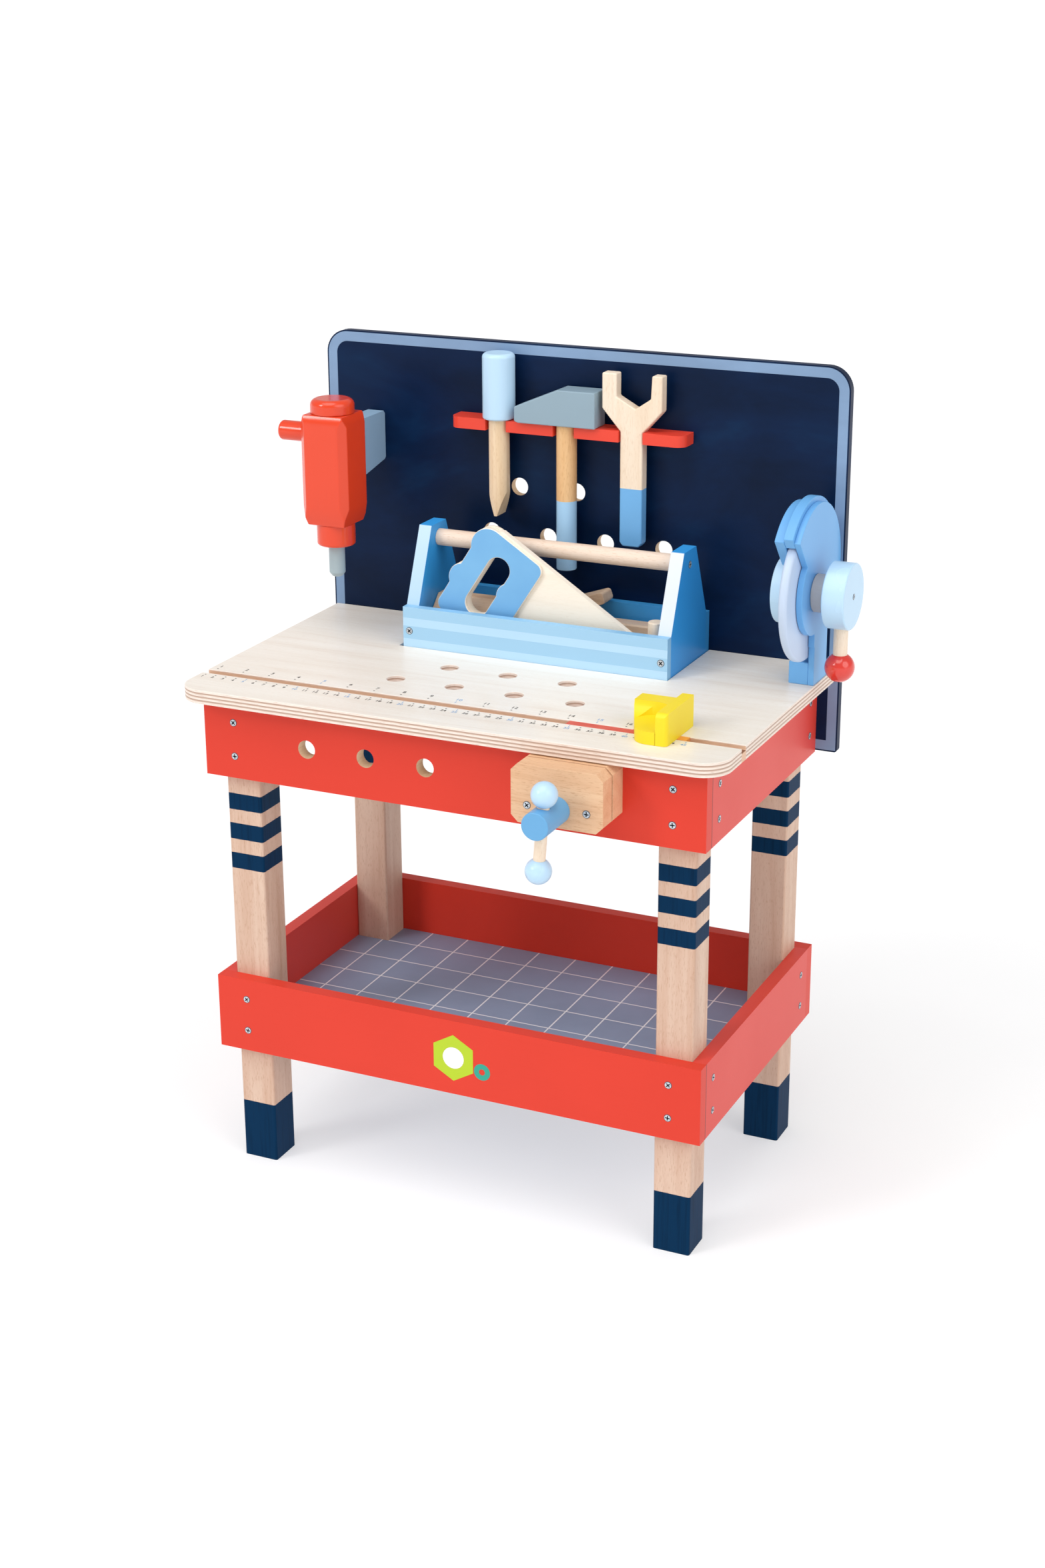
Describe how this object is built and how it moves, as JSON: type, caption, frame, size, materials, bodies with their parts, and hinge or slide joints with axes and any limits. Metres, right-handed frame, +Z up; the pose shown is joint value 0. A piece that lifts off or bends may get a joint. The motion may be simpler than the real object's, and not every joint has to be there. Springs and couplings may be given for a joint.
{
  "type": "toy workbench",
  "caption": "Wooden toy workbench with a storage tray, tool board, hanging tools, carry box with saw, crank grinder, hand drill, front vise and a sliding rule stop.",
  "frame": {"origin": "middle of the whole object's bounding box in plan, on the floor under the legs", "axes": "+X to the right along the worktop, +Y from the vise side towards the tool board, +Z up"},
  "size_m": [0.53, 0.359, 0.707],
  "materials": {
    "beech": "satin",
    "plywood": "satin",
    "red_paint": "satin paint",
    "orange_paint": "gloss paint",
    "navy_paint": "satin paint",
    "mid_blue_paint": "satin paint",
    "light_blue_paint": "satin paint",
    "pale_paint": "satin paint",
    "grey_blue_paint": "satin paint",
    "grey_paint": "satin paint",
    "yellow_paint": "satin paint",
    "zinc": "zinc plated"
  },
  "bodies": {
    "frame": {"leg_front_left": "beech", "leg_front_right": "beech", "leg_rear_left": "beech", "leg_rear_right": "beech", "apron_front": "red_paint", "apron_left": "red_paint", "apron_right": "red_paint", "tray_front_board": "red_paint", "tray_rear_board": "red_paint", "tray_left_board": "red_paint", "tray_right_board": "red_paint", "tray_floor": "grey_paint", "worktop": "plywood", "backboard": "navy_paint", "tool_rack": "red_paint", "frame_screws": "zinc", "drill_bracket": "grey_blue_paint", "drill_body": "orange_paint", "drill_side_handle": "orange_paint", "grinder_base": "mid_blue_paint", "grinder_side_plate": "mid_blue_paint", "grinder_guard_core": "mid_blue_paint", "grinder_guard_plate": "mid_blue_paint", "vise_rear_jaw": "beech"},
    "toolbox": {"toolbox_front": "mid_blue_paint", "toolbox_back": "mid_blue_paint", "toolbox_left_end": "mid_blue_paint", "toolbox_right_end": "mid_blue_paint", "toolbox_floor": "plywood", "toolbox_handle": "beech", "toolbox_screws": "zinc"},
    "saw": {"saw_blade": "plywood", "saw_handle": "mid_blue_paint"},
    "wood_plank": {"wood_plank": "beech"},
    "wood_bar": {"wood_bar": "beech"},
    "wood_block": {"wood_block": "beech"},
    "wood_peg": {"wood_peg": "beech"},
    "screwdriver": {"screwdriver_handle": "light_blue_paint", "screwdriver_shaft": "beech"},
    "hammer": {"hammer_head": "grey_blue_paint", "hammer_handle": "beech"},
    "wrench": {"wrench": "beech"},
    "drill_spindle": {"drill_knob": "orange_paint", "drill_chuck": "orange_paint", "drill_bit": "grey_blue_paint"},
    "grinder_rotor": {"grinder_wheel": "pale_paint", "grinder_axle": "beech", "grinder_spacer": "grey_blue_paint", "grinder_hub": "light_blue_paint", "grinder_crank_disc": "light_blue_paint", "grinder_crank_arm": "beech", "grinder_crank_ball": "orange_paint"},
    "vise_jaw": {"vise_front_jaw": "beech", "vise_guide_rods": "beech", "vise_jaw_screws": "zinc"},
    "vise_screw": {"vise_screw": "mid_blue_paint"},
    "vise_bar": {"vise_bar": "beech", "vise_bar_balls": "light_blue_paint"},
    "tape_slider": {"tape_slider": "yellow_paint", "tape_runner": "orange_paint"}
  },
  "joints": [
    {"name": "toolbox_lift", "type": "slide", "parent": "frame", "child": "toolbox", "axis": [0, 0, 1], "range_m": [0, 0.012]},
    {"name": "saw_lift", "type": "slide", "parent": "toolbox", "child": "saw", "axis": [0, 0, 1], "range_m": [0, 0.1]},
    {"name": "wood_bar_lift", "type": "slide", "parent": "toolbox", "child": "wood_bar", "axis": [0, 0, 1], "range_m": [0, 0.01]},
    {"name": "wood_plank_lift", "type": "slide", "parent": "wood_bar", "child": "wood_plank", "axis": [0, 0, 1], "range_m": [0, 0.008]},
    {"name": "wood_block_lift", "type": "slide", "parent": "toolbox", "child": "wood_block", "axis": [0, 0, 1], "range_m": [0, 0.035]},
    {"name": "wood_peg_lift", "type": "slide", "parent": "toolbox", "child": "wood_peg", "axis": [0, 0, 1], "range_m": [0, 0.08]},
    {"name": "screwdriver_lift", "type": "slide", "parent": "frame", "child": "screwdriver", "axis": [0, 0, 1], "range_m": [0, 0.09]},
    {"name": "hammer_lift", "type": "slide", "parent": "frame", "child": "hammer", "axis": [0, 0, 1], "range_m": [0, 0.135]},
    {"name": "wrench_lift", "type": "slide", "parent": "frame", "child": "wrench", "axis": [0, 0, 1], "range_m": [0, 0.11]},
    {"name": "drill_spin", "type": "hinge", "parent": "frame", "child": "drill_spindle", "pos_m": [-0.213, 0.0855, 0.6], "axis": [0, 0, 1], "continuous": true},
    {"name": "grinder_spin", "type": "hinge", "parent": "frame", "child": "grinder_rotor", "pos_m": [0.221, 0.103, 0.5315], "axis": [1, 0, 0], "continuous": true},
    {"name": "vise_screw_turn", "type": "hinge", "parent": "vise_jaw", "child": "vise_screw", "pos_m": [0.1026, -0.1495, 0.403], "axis": [0, -1, 0], "range_deg": [0, 1036]},
    {"name": "vise_jaw_slide", "type": "slide", "parent": "frame", "child": "vise_jaw", "axis": [0, -1, 0], "range_m": [0, 0.023]},
    {"name": "vise_bar_slide", "type": "slide", "parent": "vise_screw", "child": "vise_bar", "axis": [0.0819, 0, 0.9966], "range_m": [0, 0.0205]},
    {"name": "tape_slide", "type": "slide", "parent": "frame", "child": "tape_slider", "axis": [1, 0, 0], "range_m": [-0.33, 0.045]}
  ],
  "couplings": [
    {"joint": "vise_screw_turn", "follows": "vise_jaw_slide", "rad_per_m": 785.4}
  ]
}
